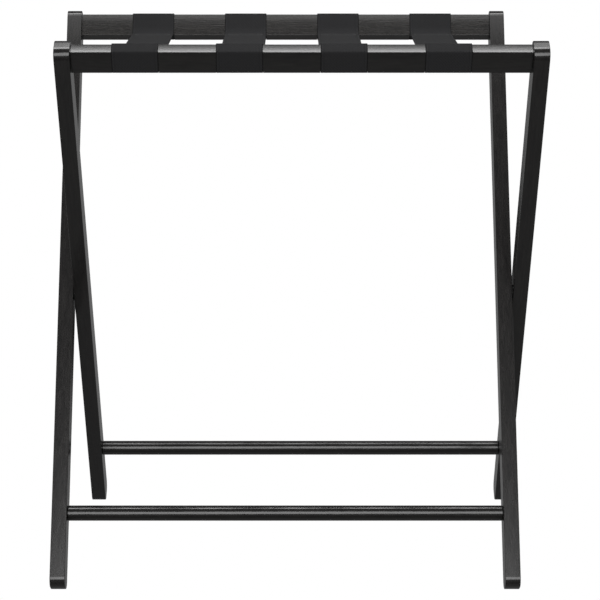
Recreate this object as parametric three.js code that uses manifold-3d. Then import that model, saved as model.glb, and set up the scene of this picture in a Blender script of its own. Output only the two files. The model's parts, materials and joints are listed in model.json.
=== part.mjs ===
// Folding luggage rack: two identical wooden frames crossed in an X on two pivot bolts, with four
// webbing straps sewn round the two top rails. Millimetres, +Z up, +X to the right, +Y rearward.
// The front frame carries the front top rail and has its feet at the rear. The rear frame is the
// same frame turned half a turn about Z, so its legs lie beside the front frame's legs.
import * as THREE from 'three';
import { mergeVertices } from 'three/addons/utils/BufferGeometryUtils.js';
import Module from 'manifold-3d';

const wasm = await Module();
wasm.setup();

// ---- driving dimensions -------------------------------------------------------------------
const FRAME_WIDTH = 535;       // over the two legs of one frame
const LEG_WIDTH = 29.7;        // across the leg, seen from the side
const LEG_THICK = 17.4;        // along X
const LEG_ABOVE = 360.9;       // pivot to the leg's top end
const LEG_BELOW = 353.5;       // pivot to the leg's foot end
const LEG_END_R = 10.7;        // rounding of the four corners, seen from the side
const LEG_ARRIS = 0.7;         // rounding of the long edges
const HALF_ANGLE = 29.9 * Math.PI / 180;   // each frame's lean from upright when open
const LEG_GAP = 1.0;           // between two crossing legs, where the washer sits
const FOOT_FLAT = 0.35;        // height taken off the heel so that it stands on a flat
const RAIL_TALL = 27.8;        // top rail, along the leg
const RAIL_DEEP = 14.7;        // top rail, across the leg
const RAIL_DOWN = 5.7;         // rail's top face below the leg's end
const RAIL_SETBACK = 9.4;      // rail's outer face behind the leg's outer edge
const RAIL_ARRIS = 0.6;
const STRETCHER_R = 8.8;       // round stretcher near the feet
const STRETCHER_UP = 87.2;     // its axis, from the leg's foot end
const TENON_R = 6.0;
const TENON_LONG = 7.6;
const FIT_GAP = 0.2;           // left between faces that touch
const STRAP_WIDTH = 50.8;
const STRAP_THICK = 1.0;
const STRAP_STEP = 113.2;      // between strap centres
const STRAP_OFF = -1.6;        // middle of the four straps from the rack's middle
const STRAP_DROP = 290.8;      // top of the straps' flat span above the pivot
const STRAP_LAP = 26;          // sewn overlap under the span
const STRAP_BEND = 16;         // inside bend where the strap leaves the rail
const HOUSING = 1.4;           // depth of the housings under the rails that take the straps
const HOUSING_ARRIS = 0.8;
const HOUSING_SIDE = 0.2;
const SCREW = { head: 4.5, cone: 2.6, shank: 2.1, long: 44 };
const BOLT = { head: 6.5, cone: 3.2, shank: 3.0, long: 30.6 };
const HEAD_SUNK = 0.4;         // heads sit this far below the wood
const RUN_GAP = 0.06;          // radial, where a leg turns on its bolt
const INSERT = { outer: 4.8, inner: 3.15, long: 14 };
const WASHER = { outer: 9, inner: 3.3, thick: 0.7 };
const PIN = { r: 3, long: 25, inLeg: 9.6 };
const FINE = 28;               // sides of a round hole or shaft

// ---- derived ------------------------------------------------------------------------------
const SIN = Math.sin(HALF_ANGLE);
const COS = Math.cos(HALF_ANGLE);
const STAGGER = LEG_THICK + LEG_GAP;
const X_LEFT = -FRAME_WIDTH / 2 + STAGGER / 2;   // front frame, outside of the left leg
const X_RIGHT = FRAME_WIDTH / 2 + STAGGER / 2;   // front frame, outside of the right leg
const IN_LEFT = X_LEFT + LEG_THICK;
const IN_RIGHT = X_RIGHT - LEG_THICK;
const PIVOT_Z = (LEG_BELOW - LEG_END_R) * COS + (LEG_WIDTH / 2 - LEG_END_R) * SIN
  + LEG_END_R - FOOT_FLAT;
const RAIL_U1 = LEG_ABOVE - RAIL_DOWN;
const RAIL_U0 = RAIL_U1 - RAIL_TALL;
const RAIL_V1 = LEG_WIDTH / 2 - RAIL_SETBACK;
const RAIL_V0 = RAIL_V1 - RAIL_DEEP;
const RAIL_V = (RAIL_V0 + RAIL_V1) / 2;
const SCREW_U = RAIL_U0 + 19.5;
const PIN_U = RAIL_U0 + 8.2;
const STRETCHER_U = STRETCHER_UP - LEG_BELOW;
const STRAP_X = [0, 1, 2, 3].map(i => STRAP_OFF + (i - 1.5) * STRAP_STEP);

// ---- materials ----------------------------------------------------------------------------
const finish = (color, roughness, metalness) =>
  new THREE.MeshStandardMaterial({ color, roughness, metalness });
const BLACK_WOOD = finish(0x242322, 0.42, 0);
const WEBBING = finish(0x2c2c2d, 0.9, 0);
const BLACK_STEEL = finish(0x2a2b2d, 0.35, 1);
const ZINC_STEEL = finish(0xa9adb2, 0.35, 1);
const NYLON = finish(0x1f1f20, 0.5, 0);
const BEECH = finish(0xc8a273, 0.7, 0);

// ---- solids -------------------------------------------------------------------------------
function solid(geometry) {
  let g = geometry.clone();
  g.deleteAttribute('normal');
  g.deleteAttribute('uv');
  g = mergeVertices(g, 1e-4);
  const tri = [];
  for (let i = 0; i < g.index.count; i += 3) {
    const [a, b, c] = [0, 1, 2].map(k => g.index.getX(i + k));
    if (a !== b && b !== c && c !== a) tri.push(a, b, c);
  }
  return new wasm.Manifold(new wasm.Mesh({
    numProp: 3,
    vertProperties: new Float32Array(g.attributes.position.array),
    triVerts: new Uint32Array(tri),
  }));
}

function mesh(name, body, material) {
  const out = body.getMesh();
  const g = new THREE.BufferGeometry();
  g.setAttribute('position', new THREE.BufferAttribute(new Float32Array(out.vertProperties), 3));
  g.setIndex(new THREE.BufferAttribute(new Uint32Array(out.triVerts), 1));
  g.computeVertexNormals();
  const m = new THREE.Mesh(g, material);
  m.name = name;
  return m;
}

// Frame space is (x, u, v): u up the leg from the pivot, v out of the leg's outer edge.
const X_AXIS = new THREE.Vector3(1, 0, 0);
const U_AXIS = new THREE.Vector3(0, -SIN, COS);
const V_AXIS = new THREE.Vector3(0, -COS, -SIN);
const SECTION = new THREE.Matrix4().makeBasis(U_AXIS, V_AXIS, X_AXIS).setPosition(0, 0, PIVOT_Z);
const TURN = {
  front: new THREE.Matrix4(),
  rear: new THREE.Matrix4().makeRotationZ(Math.PI),
};

// A section drawn in (u, v), run along X from x0 to x1, with the edges of its ends rounded by arris.
function along(shape, x0, x1, arris = 0) {
  const g = new THREE.ExtrudeGeometry(shape, {
    depth: x1 - x0 - 2 * arris,
    curveSegments: 7,
    bevelEnabled: arris > 0,
    bevelThickness: arris,
    bevelSize: arris,
    bevelOffset: -arris,
    bevelSegments: 2,
  });
  g.translate(0, 0, x0 + arris);
  return g.applyMatrix4(SECTION);
}

function roundedBox(u0, u1, v0, v1, r) {
  const s = new THREE.Shape();
  s.moveTo(u0 + r, v0);
  s.lineTo(u1 - r, v0);
  s.absarc(u1 - r, v0 + r, r, -Math.PI / 2, 0, false);
  s.lineTo(u1, v1 - r);
  s.absarc(u1 - r, v1 - r, r, 0, Math.PI / 2, false);
  s.lineTo(u0 + r, v1);
  s.absarc(u0 + r, v1 - r, r, Math.PI / 2, Math.PI, false);
  s.lineTo(u0, v0 + r);
  s.absarc(u0 + r, v0 + r, r, Math.PI, 1.5 * Math.PI, false);
  return s;
}

// A profile of [radius, distance] pairs turned about a line along X that passes through (u, v).
// It starts at x and runs towards +X (way 1) or -X (way -1).
function turned(profile, x, u, v, way = 1, sides = FINE) {
  const g = new THREE.LatheGeometry(profile.map(p => new THREE.Vector2(p[0], p[1])), sides);
  g.rotateZ(-way * Math.PI / 2);
  g.translate(x, 0, 0);
  const at = U_AXIS.clone().multiplyScalar(u).addScaledVector(V_AXIS, v);
  g.translate(at.x, at.y, at.z + PIVOT_Z);
  return solid(g);
}

const rod = (r, long) => [[0, 0], [r, 0], [r, long], [0, long]];

// ---- screws and bolts ----------------------------------------------------------------------
function countersunk(s, grow, outer) {
  return [
    [0, -outer],
    [s.head + grow + (outer > 0 ? 0.4 : 0), -outer],
    [s.head + grow, 0],
    [s.shank + grow, s.cone + grow * 0.4],
    [s.shank + grow, s.long - 1.2 + grow],
    [s.shank * 0.45 + grow, s.long + grow],
    [0, s.long + grow],
  ];
}

// The hole that a sunk head and its shank need, open through the leg's outer face.
function screwHole(s, grow, face, u, v, way) {
  return turned(countersunk(s, grow, HEAD_SUNK + 1), face + way * HEAD_SUNK, u, v, way);
}

function crossRecess(face, u, v, way) {
  const at = U_AXIS.clone().multiplyScalar(u).addScaledVector(V_AXIS, v);
  const bars = [[4.6, 1.0], [1.0, 4.6]].map(([a, b]) => {
    const g = new THREE.BoxGeometry(3.6, a, b);
    g.translate(face, at.y, at.z + PIVOT_Z);
    return solid(g);
  });
  return bars[0].add(bars[1]);
}

function screw(face, u, v, way) {
  const head = face + way * HEAD_SUNK;
  return turned(countersunk(SCREW, 0, 0), head, u, v, way).subtract(crossRecess(head, u, v, way));
}

function bolt(face, way) {
  const head = face + way * HEAD_SUNK;
  const socket = turned(rod(2.3, 2.6), head - way * 0.1, 0, 0, way, 6);
  return turned(countersunk(BOLT, 0, 0), head, 0, 0, way).subtract(socket);
}

// ---- one wooden frame, in the front frame's place -------------------------------------------
function floorCut() {
  const g = new THREE.BoxGeometry(2 * FRAME_WIDTH, 2 * FRAME_WIDTH, 40);
  g.translate(0, 0, -20);
  return solid(g);
}

// side -1 is the left leg, which lies inside the other frame's leg; side 1 is the right leg.
function leg(side) {
  const x0 = side < 0 ? X_LEFT : IN_RIGHT;
  const face = side < 0 ? X_LEFT : X_RIGHT;
  const inner = side < 0 ? IN_LEFT : IN_RIGHT;
  const way = -side;
  const outline = roundedBox(-LEG_BELOW, LEG_ABOVE, -LEG_WIDTH / 2, LEG_WIDTH / 2, LEG_END_R);
  let body = solid(along(outline, x0, x0 + LEG_THICK, LEG_ARRIS)).subtract(floorCut());
  body = body.subtract(screwHole(SCREW, 0.2, face, SCREW_U, RAIL_V, way));
  body = body.subtract(screwHole(SCREW, 0.2, face, STRETCHER_U, 0, way));
  body = body.subtract(
    turned(rod(PIN.r + 0.15, PIN.inLeg + 0.3 + 1), inner + way, PIN_U, RAIL_V, -way));
  body = body.subtract(
    turned(rod(TENON_R + FIT_GAP, TENON_LONG + 0.3 + 1), inner + way, STRETCHER_U, 0, -way));
  return body.subtract(side < 0 ? insertHole() : boltHole());
}

// The leg inside the other one holds the threaded insert; the hole stops short of its inner face.
function insertHole() {
  return turned(rod(INSERT.outer + 0.15, INSERT.long + 0.9 + 1), X_LEFT - 1, 0, 0, 1);
}

function boltHole() {
  const cutter = countersunk(BOLT, RUN_GAP, HEAD_SUNK + 1);
  return turned(cutter, X_RIGHT - HEAD_SUNK, 0, 0, -1);
}

function strapHousing(x) {
  const u = RAIL_U0 + HOUSING;
  const r = HOUSING_ARRIS;
  const s = new THREE.Shape();
  s.moveTo(RAIL_U0 - 1, RAIL_V0 - 1);
  s.lineTo(u + r, RAIL_V0 - 1);
  s.lineTo(u + r, RAIL_V0);
  s.absarc(u + r, RAIL_V0 + r, r, -Math.PI / 2, -Math.PI, true);
  s.lineTo(u, RAIL_V1 - r);
  s.absarc(u + r, RAIL_V1 - r, r, Math.PI, Math.PI / 2, true);
  s.lineTo(u + r, RAIL_V1 + 1);
  s.lineTo(RAIL_U0 - 1, RAIL_V1 + 1);
  const half = STRAP_WIDTH / 2 + HOUSING_SIDE;
  return solid(along(s, x - half, x + half));
}

function topRail(strapX) {
  const section = roundedBox(RAIL_U0, RAIL_U1, RAIL_V0, RAIL_V1, RAIL_ARRIS);
  const x0 = IN_LEFT + FIT_GAP;
  const x1 = IN_RIGHT - FIT_GAP;
  let body = solid(along(section, x0, x1));
  for (const x of strapX) body = body.subtract(strapHousing(x));
  for (const [face, end, way] of [[X_LEFT, x0, 1], [X_RIGHT, x1, -1]]) {
    body = body.subtract(screwHole(SCREW, 0.15, face, SCREW_U, RAIL_V, way));
    const deep = PIN.long - PIN.inLeg + 0.3;
    body = body.subtract(turned(rod(PIN.r + 0.15, deep + 1), end - way, PIN_U, RAIL_V, way));
  }
  return body;
}

function stretcher() {
  const x0 = IN_LEFT + FIT_GAP - TENON_LONG;
  const x1 = IN_RIGHT - FIT_GAP + TENON_LONG;
  const long = x1 - x0;
  const profile = [
    [0, 0], [TENON_R - 0.6, 0], [TENON_R, 0.6], [TENON_R, TENON_LONG],
    [STRETCHER_R - 0.5, TENON_LONG], [STRETCHER_R, TENON_LONG + 0.5],
    [STRETCHER_R, long - TENON_LONG - 0.5], [STRETCHER_R - 0.5, long - TENON_LONG],
    [TENON_R, long - TENON_LONG], [TENON_R, long - 0.6], [TENON_R - 0.6, long], [0, long],
  ];
  let body = turned(profile, x0, STRETCHER_U, 0, 1);
  body = body.subtract(screwHole(SCREW, 0.15, X_LEFT, STRETCHER_U, 0, 1));
  return body.subtract(screwHole(SCREW, 0.15, X_RIGHT, STRETCHER_U, 0, -1));
}

function railPin(side) {
  const inner = side < 0 ? IN_LEFT : IN_RIGHT;
  const way = -side;
  const c = 0.7;
  const profile = [[0, 0], [PIN.r - c, 0], [PIN.r, c], [PIN.r, PIN.long - c],
    [PIN.r - c, PIN.long], [0, PIN.long]];
  return turned(profile, inner - way * PIN.inLeg, PIN_U, RAIL_V, way);
}

// Washer between the crossing legs, and the insert sunk in the inside leg, both at the left pivot.
function ring(outer, inner, thick, x, way) {
  return turned(rod(outer, thick), x, 0, 0, way)
    .subtract(turned(rod(inner, thick + 2), x - way, 0, 0, way));
}

function pivotWasher(side) {
  const middle = (side < 0 ? X_LEFT : IN_RIGHT) - LEG_GAP / 2;
  return ring(WASHER.outer, WASHER.inner, WASHER.thick, middle - WASHER.thick / 2, 1);
}

// ---- straps ---------------------------------------------------------------------------------
// Corner points with their bend radii, turned into a smooth line.
function smoothLine(corners) {
  const line = [corners[0].p.clone()];
  for (let i = 1; i < corners.length - 1; i++) {
    const { p, r } = corners[i];
    const a = corners[i - 1].p.clone().sub(p).normalize();
    const b = corners[i + 1].p.clone().sub(p).normalize();
    const half = Math.acos(THREE.MathUtils.clamp(a.dot(b), -1, 1)) / 2;
    const centre = p.clone().add(a.clone().add(b).normalize().multiplyScalar(r / Math.sin(half)));
    const from = p.clone().addScaledVector(a, r / Math.tan(half)).sub(centre);
    const to = p.clone().addScaledVector(b, r / Math.tan(half)).sub(centre);
    const turn = Math.atan2(from.x * to.y - from.y * to.x, from.dot(to));
    const steps = Math.max(4, Math.ceil(Math.abs(turn) * 8 / Math.PI));
    for (let k = 0; k <= steps; k++) {
      line.push(from.clone().rotateAround(new THREE.Vector2(), turn * k / steps).add(centre));
    }
  }
  line.push(corners[corners.length - 1].p.clone());
  return line;
}

// The two sides of a strip of the given thickness about a line, as one closed outline.
function stripOutline(line, thick) {
  const sides = [[], []];
  line.forEach((p, i) => {
    const before = line[Math.max(i - 1, 0)];
    const after = line[Math.min(i + 1, line.length - 1)];
    const a = i > 0 ? p.clone().sub(before).normalize() : after.clone().sub(p).normalize();
    const b = i < line.length - 1 ? after.clone().sub(p).normalize() : a.clone();
    const along2 = a.clone().add(b).normalize();
    const normal = new THREE.Vector2(-along2.y, along2.x);
    const reach = thick / 2 / Math.max(0.5, along2.dot(b));
    sides[0].push(p.clone().addScaledVector(normal, reach));
    sides[1].push(p.clone().addScaledVector(normal, -reach));
  });
  return sides[0].concat(sides[1].reverse());
}

// The strap's centre line seen from the side, as (y, z): one lapped end, round the front rail, over
// to the rear rail, round it, and the other lapped end.
function strapLine() {
  const off = FIT_GAP + STRAP_THICK / 2;
  const place = (u, v) => new THREE.Vector2(-u * SIN - v * COS, PIVOT_Z + u * COS - v * SIN);
  const spanZ = STRAP_DROP - STRAP_THICK / 2;
  const lapZ = spanZ - STRAP_THICK - FIT_GAP;
  const underU = RAIL_U0 + HOUSING - off;
  const insideV = RAIL_V0 - off;
  const turnUnder = place(underU, (underU * COS - lapZ) / SIN);
  const leave = place((spanZ + insideV * SIN) / COS, insideV);
  const lapEnd = new THREE.Vector2(turnUnder.x + STRAP_LAP, PIVOT_Z + lapZ);
  const half = [
    { p: lapEnd, r: 0 },
    { p: turnUnder, r: 3 },
    { p: place(underU, RAIL_V1 + off), r: HOUSING_ARRIS + off },
    { p: place(RAIL_U1 + off, RAIL_V1 + off), r: RAIL_ARRIS + off },
    { p: place(RAIL_U1 + off, insideV), r: RAIL_ARRIS + off },
    { p: leave, r: STRAP_BEND },
  ];
  const other = half.slice().reverse().map(c => ({ p: new THREE.Vector2(-c.p.x, c.p.y), r: c.r }));
  return smoothLine(half.concat(other));
}

function strap(x) {
  const shape = new THREE.Shape(stripOutline(strapLine(), STRAP_THICK));
  const g = new THREE.ExtrudeGeometry(shape, { depth: STRAP_WIDTH, bevelEnabled: false });
  g.translate(0, 0, x - STRAP_WIDTH / 2);
  const toYZ = new THREE.Matrix4().makeBasis(
    new THREE.Vector3(0, 1, 0), new THREE.Vector3(0, 0, 1), X_AXIS);
  return solid(g.applyMatrix4(toYZ));
}

// ---- the whole rack -------------------------------------------------------------------------
// A part made in the front frame's place, put where the named frame needs it.
function placed(name, frame, body, material) {
  const m = mesh(name, body, material);
  m.geometry.applyMatrix4(TURN[frame]);
  return m;
}

function woodenFrame(frame) {
  const group = new THREE.Group();
  group.name = `${frame}_frame`;
  // Seen from the front, the rear frame's left and right are the turned frame's right and left.
  const hand = { '-1': frame === 'front' ? 'left' : 'right', 1: frame === 'front' ? 'right' : 'left' };
  const strapX = frame === 'front' ? STRAP_X : STRAP_X.map(x => -x);
  const add = (name, body, material) => group.add(placed(`${frame}_${name}`, frame, body, material));
  add('top_rail', topRail(strapX), BLACK_WOOD);
  add('stretcher', stretcher(), BLACK_WOOD);
  for (const side of [-1, 1]) {
    const face = side < 0 ? X_LEFT : X_RIGHT;
    add(`leg_${hand[side]}`, leg(side), BLACK_WOOD);
    add(`rail_screw_${hand[side]}`, screw(face, SCREW_U, RAIL_V, -side), BLACK_STEEL);
    add(`rail_pin_${hand[side]}`, railPin(side), BEECH);
    add(`stretcher_screw_${hand[side]}`, screw(face, STRETCHER_U, 0, -side), BLACK_STEEL);
  }
  // The bolt is screwed into the insert in this frame's inside leg, and passes through the other
  // frame's leg from outside.
  const inside = hand['-1'];
  add(`pivot_bolt_${inside}`, bolt(X_LEFT - STAGGER, 1), BLACK_STEEL);
  add(`pivot_insert_${inside}`,
    ring(INSERT.outer, INSERT.inner, INSERT.long, X_LEFT + 0.5, 1), ZINC_STEEL);
  return group;
}

const rack = new THREE.Group();
rack.name = 'folding_luggage_rack';
rack.add(woodenFrame('front'));
rack.add(woodenFrame('rear'));
rack.add(mesh('pivot_washer_left', pivotWasher(-1), NYLON));
rack.add(mesh('pivot_washer_right', pivotWasher(1), NYLON));
STRAP_X.forEach((x, i) => rack.add(mesh(`strap_${i + 1}`, strap(x), WEBBING)));

export default rack;
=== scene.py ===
# %% [markdown]
# # A folding luggage rack
#
# The rack is two identical wooden frames that cross in an X and turn on two bolts, with four bands
# of webbing sewn round their top rails. The wooden parts, the screws and the bolts arrive finished in
# shape, so here they only get their surfaces. The bands arrive as plain strips, and are woven and
# sewn here.

# %% Load the frame
import json
import math

import bpy
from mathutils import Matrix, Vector


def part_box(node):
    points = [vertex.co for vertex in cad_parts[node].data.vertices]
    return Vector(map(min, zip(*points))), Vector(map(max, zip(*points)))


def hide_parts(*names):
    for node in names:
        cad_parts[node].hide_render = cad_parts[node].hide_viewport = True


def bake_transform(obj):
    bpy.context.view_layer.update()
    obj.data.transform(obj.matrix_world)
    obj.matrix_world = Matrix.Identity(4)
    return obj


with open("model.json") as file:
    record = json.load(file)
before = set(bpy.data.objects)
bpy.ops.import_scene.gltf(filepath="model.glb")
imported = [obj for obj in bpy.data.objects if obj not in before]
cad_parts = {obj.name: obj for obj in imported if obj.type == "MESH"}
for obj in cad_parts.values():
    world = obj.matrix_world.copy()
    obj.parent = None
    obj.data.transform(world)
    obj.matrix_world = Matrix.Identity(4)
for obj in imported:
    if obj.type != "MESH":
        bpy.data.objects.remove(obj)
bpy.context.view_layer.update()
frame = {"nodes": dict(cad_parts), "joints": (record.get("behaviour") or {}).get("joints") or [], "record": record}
scene = bpy.context.scene

# %% [markdown]
# ## The camera
#
# The rack is seen from straight ahead and a little above, from over four times its own height away,
# so its upright lines stay almost parallel. A long lens brings it near. The camera stands in line
# with the rack's middle, higher than its top, and is pitched down. A small sideways shift of the lens
# sets where the rack sits in the frame.

# %% Set up the camera
MM = 0.001
PIVOT = Vector((0, 0, frame["joints"][0]["pos_m"][2]))
CAMERA_BACK = 2614.2 * MM
CAMERA_ABOVE_PIVOT = 578.7 * MM
CAMERA_SIDE = -0.84 * MM
PITCH_DOWN = math.radians(12.676)
LENS = 135.44                 # focal length on a 36 mm wide sensor
LENS_SHIFT = 0.01255

lens = bpy.data.cameras.new("camera")
lens.sensor_width = 36
lens.lens = LENS
lens.shift_x = LENS_SHIFT
camera = bpy.data.objects.new("camera", lens)
camera.location = (CAMERA_SIDE, -CAMERA_BACK, PIVOT.z + CAMERA_ABOVE_PIVOT)
camera.rotation_euler = (math.pi / 2 - PITCH_DOWN, 0, 0)
scene.collection.objects.link(camera)
scene.camera = camera
print("camera height:", round(camera.location.z, 3), "m, lens:", lens.lens, "mm")

# %% [markdown]
# ## Colours and nodes
#
# Colours are easiest to name the way a paint chart or a web page does, as sRGB hex. Blender's shaders
# work in linear light, so one function turns one into the other. One more small function adds a node,
# gives it its settings and links its inputs; every material below is a short list of such calls.


# %% Helpers for colours and nodes
def linear(hex_colour):
    """The linear RGBA of an sRGB colour such as '#1d1c1b'."""
    parts = [int(hex_colour[i : i + 2], 16) / 255 for i in (1, 3, 5)]
    return [p / 12.92 if p <= 0.04045 else ((p + 0.055) / 1.055) ** 2.4 for p in parts] + [1.0]


def add(tree, kind, inputs=None, **settings):
    """A node of that kind. Inputs are values, or the sockets that feed them."""
    node = tree.nodes.new("ShaderNode" + kind)
    for name, value in settings.items():
        setattr(node, name, value)
    for name, value in (inputs or {}).items():
        if isinstance(value, bpy.types.NodeSocket):
            tree.links.new(value, node.inputs[name])
        else:
            node.inputs[name].default_value = value
    return node


def new_material(name, **principled):
    """A material with one Principled shader, whose inputs are given by name."""
    material = bpy.data.materials.new(name)
    material.use_nodes = True
    tree = material.node_tree
    tree.nodes.clear()
    inputs = {key.replace("_", " "): value for key, value in principled.items()}
    shader = add(tree, "BsdfPrincipled", inputs)
    add(tree, "OutputMaterial", {"Surface": shader.outputs[0]})
    return material, tree, shader


# %% [markdown]
# ## Studio
#
# Black paint shows little colour of its own. What the eye reads is what it mirrors, so the lights are
# placed for their reflections: a bright softbox high overhead and a dimmer canopy under it for the
# tops of the rails, and a tall one far in front for the legs and for the line along each round
# stretcher. The room round them is grey in soft bands, which the other faces mirror. The floor is a
# white sheet that glows evenly by itself, so that nothing casts a shadow on it. Only the camera sees
# it: it is left out of reflections and lights nothing.


# %% Floor and surroundings
def flat_sheet(name, width, depth):
    """A flat rectangle on the floor, made as a mesh."""
    mesh = bpy.data.meshes.new(name)
    x, y = width / 2, depth / 2
    mesh.from_pydata([(-x, -y, 0), (x, -y, 0), (x, y, 0), (-x, y, 0)], [], [(0, 1, 2, 3)])
    sheet = bpy.data.objects.new(name, mesh)
    scene.collection.objects.link(sheet)
    return sheet


paper, _, _ = new_material(
    "evenly_lit_white_paper", Base_Color=(0, 0, 0, 1), Roughness=1.0, Specular_IOR_Level=0.0,
    Emission_Color=(1, 1, 1, 1), Emission_Strength=1.0
)
# The front frame stays where it is as the rack folds, so the other frame's feet swing down: 44 mm
# below the standing feet about half way, and 15 mm below when folded. The sheet lies under all of
# that, so that it never hides a foot. A real rack would lift instead. Nothing casts a shadow on the
# sheet, so the drop doesn't show when the rack stands open.
FLOOR_DROP = 45 * MM
floor = flat_sheet("floor", 60, 60)
floor.location.z = -FLOOR_DROP
floor.data.materials.append(paper)
floor.visible_glossy = False
floor.visible_diffuse = False

world = bpy.data.worlds.new("studio")
scene.world = world
world.use_nodes = True
sky = world.node_tree
sky.nodes.clear()
direction = add(sky, "TexCoord")
height = add(sky, "SeparateXYZ", {"Vector": direction.outputs["Generated"]})
# The surroundings by height, each band as its share of the way from straight down to straight up and
# its grey.
ramp = add(sky, "ValToRGB", {"Fac": add(sky, "MapRange", {
    "Value": height.outputs["Z"], "From Min": -1.0, "From Max": 1.0}).outputs[0]})
stops = ramp.color_ramp.elements
stops[0].position, stops[0].color = 0.0, (0.22, 0.22, 0.22, 1)
stops[1].position, stops[1].color = 1.0, (0.20, 0.20, 0.20, 1)
ROOM_BANDS = ((0.06, 0.22), (0.12, 0.11), (0.28, 0.12), (0.36, 0.24), (0.47, 0.24), (0.54, 0.18))
for position, grey in ROOM_BANDS:
    stop = stops.new(position)
    stop.color = (grey, grey, grey, 1)
# The room is a little lighter to the left and right, for the flanks of the legs.
sideways = add(sky, "Math", {0: height.outputs["X"], 1: 2.0}, operation="POWER")
walls = add(sky, "MapRange", {"Value": sideways.outputs[0], "To Min": 1.0, "To Max": 1.6})
room = add(sky, "Background", {"Color": ramp.outputs[0], "Strength": walls.outputs[0]})
backdrop = add(sky, "Background", {"Color": (1, 1, 1, 1)})
seen = add(sky, "MixShader", {0: add(sky, "LightPath").outputs["Is Camera Ray"],
                              1: room.outputs[0], 2: backdrop.outputs[0]})
add(sky, "OutputWorld", {"Surface": seen.outputs[0]})
scene.view_settings.view_transform = "Standard"


# %% Lights
def softbox(name, place, aim, width, tall, radiance):
    """A rectangular light at place, facing aim. Its power follows from how bright it looks."""
    light = bpy.data.lights.new(name, "AREA")
    light.shape = "RECTANGLE"
    light.size, light.size_y = width, tall
    light.energy = radiance * math.pi * width * tall
    box = bpy.data.objects.new(name, light)
    box.location = place
    box.rotation_euler = (Vector(aim) - Vector(place)).to_track_quat("-Z", "Y").to_euler()
    scene.collection.objects.link(box)
    box.visible_camera = False
    return box


softbox("overhead", (0, 0.30, 3.0), (0, 0.30, 0), 1.4, 0.75, 7.6)
softbox("low_canopy", (0, -0.06, 1.12), (0, -0.06, 0), 1.1, 0.31, 2.0)
softbox("front", (0, -8.0, 3.60), (0, 0, 3.60), 4.0, 5.40, 5.0)
# A low card fills the shade under the rails. It is kept out of reflections, which a real card
# would not be, because the paint would show it.
fill = softbox("low_fill", (0, -1.1, 0.10), (0, -0.15, 0.62), 1.6, 0.5, 1.25)
fill.visible_glossy = False

# %% [markdown]
# ## Black-painted hardwood
#
# The frames are taken to be planed hardwood, sprayed with satin black paint. Paint sinks a little
# into the open pores, so long fine lines run with the grain. They hardly change the colour and show
# where light grazes the surface. The grain is noise stretched along the wood, with broader bands of
# earlier and later wood beneath it. Each leg leans, so the pattern is turned to run along the piece
# that it is on.


# %% Painted wood
LEAN = math.radians(29.9)
LINE_WIDE = 1.3 * MM          # a real pore is far finer, too fine to draw, so the lines are coarser
LINE_LONG = 45 * MM
BAND_WIDER, BAND_SHORTER = 0.35, 2.2      # the broad bands' scale against that of the fine lines


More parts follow.
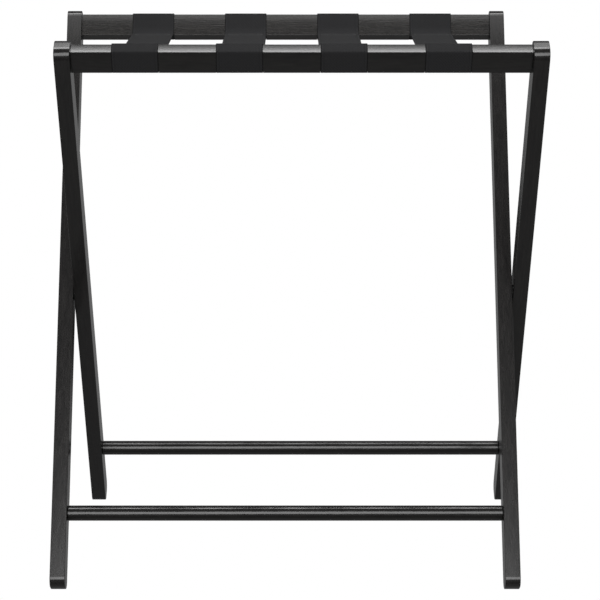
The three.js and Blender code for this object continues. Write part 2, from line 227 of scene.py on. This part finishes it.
def painted_wood(name, lean=0.0, grain="Z", figure=0.02, crown=None, pale="#201f1e", curl=1.2):
    """Satin black paint on hardwood, its grain along Z leaned about X, or along X.

    crown is (middle, curve, reach): the middle of a rail's section, how fast its faces fall away
    across the leg and along it, and how far from the middle they go on turning.
    """
    material, tree, shader = new_material(
        name, Base_Color=linear("#1b1a1a"), Roughness=0.20, IOR=1.5
    )
    coords = add(tree, "TexCoord")
    middle = crown[0] if crown else Vector((0, 0, 0))
    centred = add(tree, "VectorMath", {
        0: coords.outputs["Object"], 1: tuple(middle)}, operation="SUBTRACT")
    turned = add(tree, "Mapping", {"Vector": centred.outputs[0], "Rotation": (lean, 0, 0)})
    pore = 1 / LINE_WIDE
    length = 1 / LINE_LONG
    along = {"Z": (pore, pore, length), "X": (length, pore, pore)}[grain]
    fine = add(tree, "Mapping", {"Vector": turned.outputs[0], "Scale": along})
    pores = add(tree, "TexNoise", {
        "Vector": fine.outputs[0], "Scale": 1.0, "Detail": 3.0, "Roughness": 0.55})
    broad = add(tree, "Mapping", {
        "Vector": turned.outputs[0],
        "Scale": tuple(s * (BAND_WIDER if s == pore else BAND_SHORTER) for s in along)})
    bands = add(tree, "TexNoise", {
        "Vector": broad.outputs[0], "Scale": 1.0, "Detail": 3.0, "Distortion": curl})
    both = add(tree, "Math", {0: pores.outputs[0], 1: bands.outputs[0]}, operation="ADD")
    # End grain is drawn as if sanded shut: the lines fade where the surface faces along the piece.
    along_piece = (0, math.sin(lean), math.cos(lean)) if grain == "Z" else (1, 0, 0)
    facing = add(tree, "VectorMath", {
        0: coords.outputs["Normal"], 1: along_piece}, operation="DOT_PRODUCT")
    end_on = add(tree, "Math", {0: facing.outputs["Value"]}, operation="ABSOLUTE")
    lines = add(tree, "MapRange", {
        "Value": end_on.outputs[0], "From Min": 0.1, "From Max": 0.6, "To Min": 1.0, "To Max": 0.0})
    bump = add(tree, "Bump", {
        "Height": both.outputs[0], "Strength": lines.outputs[0], "Distance": figure * MM})
    if crown:
        part = add(tree, "SeparateXYZ", {"Vector": turned.outputs[0]})
        falls = []
        for axis, curve in zip("YZ", crown[1]):
            square = add(tree, "Math", {0: part.outputs[axis], 1: 2.0}, operation="POWER")
            arch = add(tree, "Math", {0: square.outputs[0], 1: crown[2] ** 2})
            root = add(tree, "Math", {0: arch.outputs[0]}, operation="SQRT")
            falls.append(add(tree, "Math", {
                0: root.outputs[0], 1: -curve * crown[2]}, operation="MULTIPLY"))
        fall = add(tree, "Math", {0: falls[0].outputs[0], 1: falls[1].outputs[0]})
        round_off = add(tree, "Bump", {"Height": fall.outputs[0], "Distance": 1.0})
        tree.links.new(round_off.outputs[0], bump.inputs["Normal"])
    tree.links.new(bump.outputs[0], shader.inputs["Normal"])
    gloss = add(tree, "MapRange", {
        "Value": bands.outputs[0], "From Min": 0.3, "From Max": 0.7, "To Min": 0.18, "To Max": 0.22})
    tree.links.new(gloss.outputs[0], shader.inputs["Roughness"])
    mixed = add(tree, "MapRange", {
        "Value": both.outputs[0], "From Min": 0.7, "From Max": 1.3})
    tone = add(tree, "MixRGB", {
        "Fac": mixed.outputs[0], "Color1": linear("#151414"), "Color2": linear(pale)})
    tree.links.new(tone.outputs[0], shader.inputs["Base Color"])
    return material


def middle_of(node):
    low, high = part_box(node)
    return (Vector(low) + Vector(high)) / 2


# A flat rail would mirror the lights too evenly, so its faces turn a little in the shading: how
# much per metre, across the leg and along it, and how far from the middle. These values were found
# by trial for each rail, to bring the highlights where they should fall. The mesh stays flat.
FRONT_CROWN = (middle_of("front_top_rail"), (9.0, 6.5), 60 * MM)
UP_REAR_LEG = Vector((0, math.sin(LEAN), math.cos(LEAN)))
REAR_CROWN = (middle_of("rear_top_rail") + UP_REAR_LEG * 8 * MM, (9.0, 9.0), 5 * MM)
wood = {
    "front_leg": painted_wood("satin_black_paint_on_front_legs", lean=-LEAN, figure=0.012),
    "rear_leg": painted_wood("satin_black_paint_on_rear_legs", lean=LEAN, pale="#242221"),
    "front_top_rail": painted_wood("satin_black_paint_on_front_rail", lean=-LEAN, grain="X",
                                   figure=0.03, crown=FRONT_CROWN),
    "rear_top_rail": painted_wood("satin_black_paint_on_rear_rail", lean=LEAN, grain="X",
                                  figure=0.06, crown=REAR_CROWN,
                                  pale="#272523", curl=3.0),
    "stretcher": painted_wood("satin_black_paint_on_turned_stretchers", grain="X", figure=0.05),
}
print("painted wood materials:", [m.name for m in wood.values()])

# %% [markdown]
# ## Metal, nylon and bare wood
#
# Screws and bolts are steel with a thin black oxide, which is dark, a little blotchy and half glossy.
# The inserts are zinc plated, the washers are turned from black nylon, and the hidden pins are bare
# beech.


# %% Small materials
def speckled(name, metallic, dark, light, rough, size_mm, **more):
    """A finish whose colour and gloss drift between two values over size_mm."""
    material, tree, shader = new_material(
        name, Metallic=metallic, Roughness=rough, Base_Color=linear(dark), **more
    )
    coords = add(tree, "TexCoord")
    drift = add(tree, "TexNoise", {
        "Vector": coords.outputs["Object"], "Scale": 1 / (size_mm * MM), "Detail": 4.0})
    tone = add(tree, "MixRGB", {
        "Fac": drift.outputs[0], "Color1": linear(dark), "Color2": linear(light)})
    tree.links.new(tone.outputs[0], shader.inputs["Base Color"])
    gloss = add(tree, "MapRange", {
        "Value": drift.outputs[0], "To Min": rough - 0.08, "To Max": rough + 0.08})
    tree.links.new(gloss.outputs[0], shader.inputs["Roughness"])
    bump = add(tree, "Bump", {
        "Height": drift.outputs[0], "Strength": 0.2, "Distance": 0.02 * MM})
    tree.links.new(bump.outputs[0], shader.inputs["Normal"])
    return material


black_oxide = speckled("black_oxide_on_steel", 1.0, "#1c1d20", "#34363a", 0.38, 1.2)
zinc_plate = speckled("zinc_plated_steel", 1.0, "#a9adb0", "#c6c9cb", 0.32, 0.8)
black_nylon = speckled("turned_black_nylon", 0.0, "#141415", "#1f1f20", 0.45, 0.6, IOR=1.53)
bare_beech = speckled("bare_turned_beech", 0.0, "#b08a5c", "#d1ae80", 0.65, 1.5, IOR=1.5)

# %% Give each made part its surface
SLOTS = {"black_steel": black_oxide, "zinc_steel": zinc_plate, "nylon": black_nylon, "beech": bare_beech}
slot_of = {p["node"]: p["material_slot"] for p in frame["record"]["subparts"]}


def soften(node, angle=35):
    """Joins the facets and shades them smooth, but for edges sharper than angle."""
    weld = node.modifiers.new("weld", "WELD")
    weld.merge_threshold = 0.002 * MM
    group = bpy.data.node_groups.get("smooth_facets")
    if group is None:
        group = bpy.data.node_groups.new("smooth_facets", "GeometryNodeTree")
        group.interface.new_socket("Geometry", in_out="INPUT", socket_type="NodeSocketGeometry")
        group.interface.new_socket("Geometry", in_out="OUTPUT", socket_type="NodeSocketGeometry")
        start = group.nodes.new("NodeGroupInput")
        end = group.nodes.new("NodeGroupOutput")
        steep = group.nodes.new("GeometryNodeInputMeshEdgeAngle")
        test = group.nodes.new("FunctionNodeCompare")
        test.operation = "LESS_EQUAL"
        test.inputs[1].default_value = math.radians(angle)
        edges = group.nodes.new("GeometryNodeSetShadeSmooth")
        edges.domain = "EDGE"
        faces = group.nodes.new("GeometryNodeSetShadeSmooth")
        group.links.new(steep.outputs[0], test.inputs[0])
        group.links.new(start.outputs[0], edges.inputs[0])
        group.links.new(test.outputs[0], edges.inputs["Shade Smooth"])
        group.links.new(edges.outputs[0], faces.inputs[0])
        group.links.new(faces.outputs[0], end.inputs[0])
    smooth = node.modifiers.new("smooth facets", "NODES")
    smooth.node_group = group
    weigh = node.modifiers.new("weighted normals", "WEIGHTED_NORMAL")
    weigh.keep_sharp = True


surfaced = 0
for name, node in frame["nodes"].items():
    slot = slot_of[name]
    if slot == "black_wood":
        kind = "stretcher" if name.endswith("_stretcher") else name
        surface = wood[kind.replace("_left", "").replace("_right", "")]
    else:
        surface = SLOTS.get(slot)
    if surface:
        node.data.materials.clear()
        node.data.materials.append(surface)
        soften(node)
        surfaced += 1
print("surfaces given to", surfaced, "made parts of", len(frame["nodes"]))

# %% [markdown]
# ## The straps
#
# Each strap is one length of two-inch black polypropylene webbing. It goes round the front rail, runs
# level to the rear rail and goes round that, and both ends are sewn to its underside. Webbing is
# stiff across its width and bends along its length, so it is drawn as the path seen from the side,
# swept across its width. Its edges are rounded by the selvedge, where the cross threads turn back.

# %% The path of a strap
node_low, node_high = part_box("strap_1")
STRAP_WIDTH = node_high.x - node_low.x
WEB_THICK = 1.05 * MM
RAIL_TALL, RAIL_DEEP = 27.8 * MM, 14.7 * MM
RAIL_TOP_U = 355.2 * MM       # the rail's top face from the pivot, along the leg
RAIL_OUT_V = 5.45 * MM        # the rail's outer face, out from the leg's middle line
RAIL_ARRIS = 0.6 * MM
HOUSING_DEEP = 1.4 * MM
CLEAR = 0.16 * MM             # left between webbing and wood
SPAN_TOP = PIVOT.z + 290.8 * MM
LAP = 26 * MM
LAP_GAP = 0.1 * MM            # between the strap and the end that is sewn to it
LAP_BEND = 3 * MM             # bend where the end leaves the rail
SPAN_BEND = 16 * MM           # bend where the span leaves the rail
HOUSING_ARRIS = 0.8 * MM
SIN, COS = math.sin(LEAN), math.cos(LEAN)


def from_frame(u, v):
    """Side view (y, z) of a point u up the front leg and v out from it."""
    return Vector((-u * SIN - v * COS, PIVOT.z + u * COS - v * SIN))


def strap_corners():
    """The corners of the strap's middle line with their bend radii, lapped end to lapped end."""
    off = CLEAR + WEB_THICK / 2
    span_z = SPAN_TOP - WEB_THICK / 2
    lap_z = span_z - WEB_THICK - LAP_GAP
    under = RAIL_TOP_U - RAIL_TALL + HOUSING_DEEP - off
    inside = RAIL_OUT_V - RAIL_DEEP - off
    turn = from_frame(under, (PIVOT.z + under * COS - lap_z) / SIN)
    leave = from_frame((span_z - PIVOT.z + inside * SIN) / COS, inside)
    half = [
        (Vector((turn.x + LAP, lap_z)), 0),
        (turn, LAP_BEND),
        (from_frame(under, RAIL_OUT_V + off), HOUSING_ARRIS + off),
        (from_frame(RAIL_TOP_U + off, RAIL_OUT_V + off), RAIL_ARRIS + off),
        (from_frame(RAIL_TOP_U + off, inside), RAIL_ARRIS + off),
        (leave, SPAN_BEND),
    ]
    return half + [(Vector((-p.x, p.y)), r) for p, r in reversed(half)]


def rounded_line(corners, bend_step=12.0):
    """The corners joined by straight runs and arcs, as (y, z) points."""
    line = [corners[0][0]]
    for (before, _), (p, r), (after, _) in zip(corners, corners[1:], corners[2:]):
        a, b = (before - p).normalized(), (after - p).normalized()
        half = math.acos(max(-1, min(1, a.dot(b)))) / 2
        centre = p + (a + b).normalized() * (r / math.sin(half))
        start = p + a * (r / math.tan(half)) - centre
        end = p + b * (r / math.tan(half)) - centre
        turn = math.atan2(start.x * end.y - start.y * end.x, start.dot(end))
        steps = max(3, math.ceil(abs(math.degrees(turn)) / bend_step))
        for k in range(steps + 1):
            t = turn * k / steps
            line.append(centre + Vector((
                start.x * math.cos(t) - start.y * math.sin(t),
                start.x * math.sin(t) + start.y * math.cos(t))))
    line.append(corners[-1][0])
    return line


def evenly(line, longest):
    """The same line, with no piece of it longer than longest."""
    out = [line[0]]
    for a, b in zip(line, line[1:]):
        n = max(1, math.ceil((b - a).length / longest))
        out += [a.lerp(b, k / n) for k in range(1, n + 1)]
    return out


path = evenly(rounded_line(strap_corners()), 4 * MM)

# %% [markdown]
# ### Polypropylene webbing
#
# The weave is drawn at its real size: cords about 1.6 mm apart run the length of the strap, and the
# cross threads pass over and under them every 2 mm, shifted by half at each cord. The sweep stores
# each point's distance along and across the strap in millimetres as a UV map, so the weave follows
# every bend. A flat line a few millimetres in from each edge marks the selvedge. Light is painted into
# the colour there: painted shade on that line and on the last millimetre of the edge, and a painted
# highlight on the cord between them.


# %% Webbing material
CORD = 1.6          # millimetres between cords
PICK = 4.0          # millimetres for a cross thread to go over, under and over again
# The band at each edge in which shade and a highlight are painted into the webbing's colour.
SELVEDGE_PAINTED_BAND = 6        # millimetres


def webbing_material():
    material, tree, shader = new_material(
        "woven_black_polypropylene", Base_Color=linear("#2a2a2b"), Roughness=0.9, IOR=1.49,
        Sheen_Weight=0.02, Sheen_Roughness=0.5, Specular_IOR_Level=0.10
    )
    uv = add(tree, "UVMap", uv_map="webbing_mm")
    part = add(tree, "SeparateXYZ", {"Vector": uv.outputs[0]})
    cord = add(tree, "Math", {0: part.outputs["Y"], 1: 2 * math.pi / CORD}, operation="MULTIPLY")
    rib = add(tree, "Math", {0: cord.outputs[0]}, operation="SINE")
    which = add(tree, "Math", {0: part.outputs["Y"], 1: 1 / CORD}, operation="MULTIPLY")
    row = add(tree, "Math", {0: which.outputs[0]}, operation="FLOOR")
    shift = add(tree, "Math", {0: row.outputs[0], 1: math.pi}, operation="MULTIPLY")
    pick = add(tree, "Math", {
        0: part.outputs["X"], 1: 2 * math.pi / PICK, 2: shift.outputs[0]}, operation="MULTIPLY_ADD")
    over = add(tree, "Math", {0: pick.outputs[0]}, operation="SINE")
    weave = add(tree, "Math", {0: rib.outputs[0], 1: 0.5, 2: over.outputs[0]}, operation="MULTIPLY_ADD")
    fuzz = add(tree, "TexNoise", {"Vector": uv.outputs[0], "Scale": 3.0, "Detail": 4.0})
    rough = add(tree, "Math", {
        0: fuzz.outputs[0], 1: 0.8, 2: weave.outputs[0]}, operation="MULTIPLY_ADD")
    bump = add(tree, "Bump", {
        "Height": rough.outputs[0], "Strength": 0.6, "Distance": 0.12 * MM})
    tree.links.new(bump.outputs[0], shader.inputs["Normal"])
    high = add(tree, "MapRange", {
        "Value": weave.outputs[0], "From Min": -1.5, "From Max": 1.5})
    tone = add(tree, "MixRGB", {
        "Fac": high.outputs[0], "Color1": linear("#1f1f20"), "Color2": linear("#323233")})
    # Painted light at each edge: the last millimetre or so is painted dark, as painted shade where the
    # edge turns away from the light. Inside it one cord is painted a little darker, as painted shade in the
    # groove of the selvedge, and one a little lighter, as a painted highlight on the ridge beside it.
    from_middle = add(tree, "Math", {0: part.outputs["Y"]}, operation="ABSOLUTE")
    edge = add(tree, "ValToRGB", {"Fac": add(tree, "MapRange", {
        "Value": from_middle.outputs[0], "From Min": STRAP_WIDTH / MM / 2 - SELVEDGE_PAINTED_BAND,
        "From Max": STRAP_WIDTH / MM / 2}).outputs[0]})
    painted_edge_stops = edge.color_ramp.elements
    painted_edge_stops[0].position, painted_edge_stops[0].color = 0.0, (1, 1, 1, 1)
    painted_edge_stops[1].position, painted_edge_stops[1].color = 1.0, (0.1, 0.1, 0.1, 1)
    for position, grey in ((0.30, 1.0), (0.42, 0.80), (0.55, 1.0), (0.68, 1.15), (0.78, 1.0)):
        painted_edge_stop = painted_edge_stops.new(position)
        painted_edge_stop.color = (grey, grey, grey, 1)
    shaded = add(tree, "MixRGB", {
        "Fac": 1.0, "Color1": tone.outputs[0], "Color2": edge.outputs[0]}, blend_type="MULTIPLY")
    tree.links.new(shaded.outputs[0], shader.inputs["Base Color"])
    return material


webbing = webbing_material()


# %% Sweep a strap
def across_profile():
    """Points round the strap's section: (distance across, share of half the thickness)."""
    half = STRAP_WIDTH / 2
    edge = [(0, 0), (0.10, 0.55), (0.35, 0.88), (0.8, 1.0), (2.6, 1.0), (3.4, 0.86), (4.2, 1.0)]
    top = [(-half + x * MM, h) for x, h in edge]
    top += [(-half + STRAP_WIDTH * k / 12, 1.0) for k in range(2, 11)]
    top += [(-x, h) for x, h in reversed(top[:len(edge)])]
    bottom = [(x, -h) for x, h in reversed(top[1:-1])]
    return top + bottom


def sweep(name, line, centre_x):
    """A closed band of webbing that follows line, with its length and width stored in mm."""
    profile = across_profile()
    verts, uvs, run = [], [], 0.0
    for i, p in enumerate(line):
        before, after = line[max(i - 1, 0)], line[min(i + 1, len(line) - 1)]
        tangent = (after - before).normalized()
        normal = Vector((-tangent.y, tangent.x))
        if i:
            run += (p - line[i - 1]).length
        for across, share in profile:
            q = p + normal * (share * WEB_THICK / 2)
            verts.append((centre_x + across, q.x, q.y))
            uvs.append((run / MM, across / MM))
    n = len(profile)
    faces = [
        (i * n + j, i * n + (j + 1) % n, (i + 1) * n + (j + 1) % n, (i + 1) * n + j)
        for i in range(len(line) - 1)
        for j in range(n)
    ]
    faces += [tuple(range(n - 1, -1, -1)), tuple((len(line) - 1) * n + j for j in range(n))]
    mesh = bpy.data.meshes.new(name)
    mesh.from_pydata(verts, [], faces)
    layer = mesh.uv_layers.new(name="webbing_mm")
    for corner in mesh.loops:
        layer.data[corner.index].uv = uvs[corner.vertex_index]
    mesh.polygons.foreach_set("use_smooth", [True] * len(mesh.polygons))
    band = bpy.data.objects.new(name, mesh)
    scene.collection.objects.link(band)
    band.data.materials.append(webbing)
    return band


straps = []
for number in (1, 2, 3, 4):
    low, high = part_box(f"strap_{number}")
    straps.append(sweep(f"webbing_strap_{number}", path, (low.x + high.x) / 2))
print("straps:", [b.name for b in straps])

# %% [markdown]
# ### The sewn laps
#
# Under the span, just inside each rail, the strap's end is sewn to it with a box of lockstitch in
# heavy black thread. Each stitch is a short thread that dips into the webbing at both ends, so it is
# drawn as one: six-sided, thickest in the middle, half sunk in the surface. They lie on the top and
# on the underside, and are too fine and too dark to make out from where the camera stands.

# %% Sew the laps
THREAD = 0.6 * MM      # a guess, on the heavy side for thread
STITCH = 3.2 * MM
THREAD_SIDES = 6
THREAD_SHAPE = ((0.0, 0.25), (0.2, 0.85), (0.5, 1.0), (0.8, 0.85), (1.0, 0.25))
thread_material = speckled("bonded_black_polyester_thread", 0.0, "#1c1c1d", "#303032", 0.5, 0.4,
                           IOR=1.57)
corners = strap_corners()
LAP_END, LAP_TURN = corners[0][0].x, corners[1][0].x
SEAM_NEAR, SEAM_FAR = LAP_TURN + 10.5 * MM, LAP_END - 3 * MM
SEAM_SIDE = STRAP_WIDTH / 2 - 5 * MM
SURFACES = (SPAN_TOP, SPAN_TOP - 2 * WEB_THICK - LAP_GAP)


def stitch(verts, faces, a, b, z):
    """One thread from a to b, lying on the level z, pointed where it dips in."""
    along = (b - a).normalized()
    side = Vector((-along.y, along.x))
    first = len(verts)
    for t, fat in THREAD_SHAPE:
        p = a.lerp(b, t)
        for k in range(THREAD_SIDES):
            turn = 2 * math.pi * k / THREAD_SIDES
            q = p + side * (THREAD / 2 * fat * math.cos(turn))
            verts.append((q.x, q.y, z + THREAD / 2 * fat * math.sin(turn) * 0.8))
    last = first + (len(THREAD_SHAPE) - 1) * THREAD_SIDES
    for ring in range(first, last, THREAD_SIDES):
        for k in range(THREAD_SIDES):
            n = (k + 1) % THREAD_SIDES
            faces.append((ring + k, ring + n, ring + THREAD_SIDES + n, ring + THREAD_SIDES + k))
    faces.append(tuple(first + k for k in reversed(range(THREAD_SIDES))))
    faces.append(tuple(last + k for k in range(THREAD_SIDES)))


def sew(name, centre_x):
    """The boxes of stitches at both ends of a strap, on top and underneath."""
    verts, faces = [], []
    for end in (1, -1):
        box = [Vector((centre_x + x, end * y)) for x, y in (
            (-SEAM_SIDE, SEAM_NEAR), (SEAM_SIDE, SEAM_NEAR),
            (SEAM_SIDE, SEAM_FAR), (-SEAM_SIDE, SEAM_FAR))]
        for a, b in zip(box, box[1:] + box[:1]):
            count = round((b - a).length / STITCH)
            for k in range(count):
                start, stop = a.lerp(b, (k + 0.08) / count), a.lerp(b, (k + 0.92) / count)
                for z in SURFACES:
                    stitch(verts, faces, start, stop, z)
    mesh = bpy.data.meshes.new(name)
    mesh.from_pydata(verts, [], faces)
    mesh.polygons.foreach_set("use_smooth", [True] * len(mesh.polygons))
    seam = bpy.data.objects.new(name, mesh)
    scene.collection.objects.link(seam)
    seam.data.materials.append(thread_material)
    return seam


seams = [sew(f"strap_stitching_{k + 1}", sum(v.co.x for v in b.data.vertices) / len(b.data.vertices))
         for k, b in enumerate(straps)]
print("stitches per strap:", len(seams[0].data.vertices) // (len(THREAD_SHAPE) * THREAD_SIDES))

# %% [markdown]
# ### Where the straps stay
#
# The made model has a plain strip for each strap, which is hidden here. The woven bands and their
# stitching are fixed where they were built, and are tied to neither frame.

# %% Hide the plain strips and fix the bands in place
for number, (band, seam) in enumerate(zip(straps, seams), start=1):
    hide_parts(f"strap_{number}")
    for piece in (band, seam):
        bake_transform(piece)
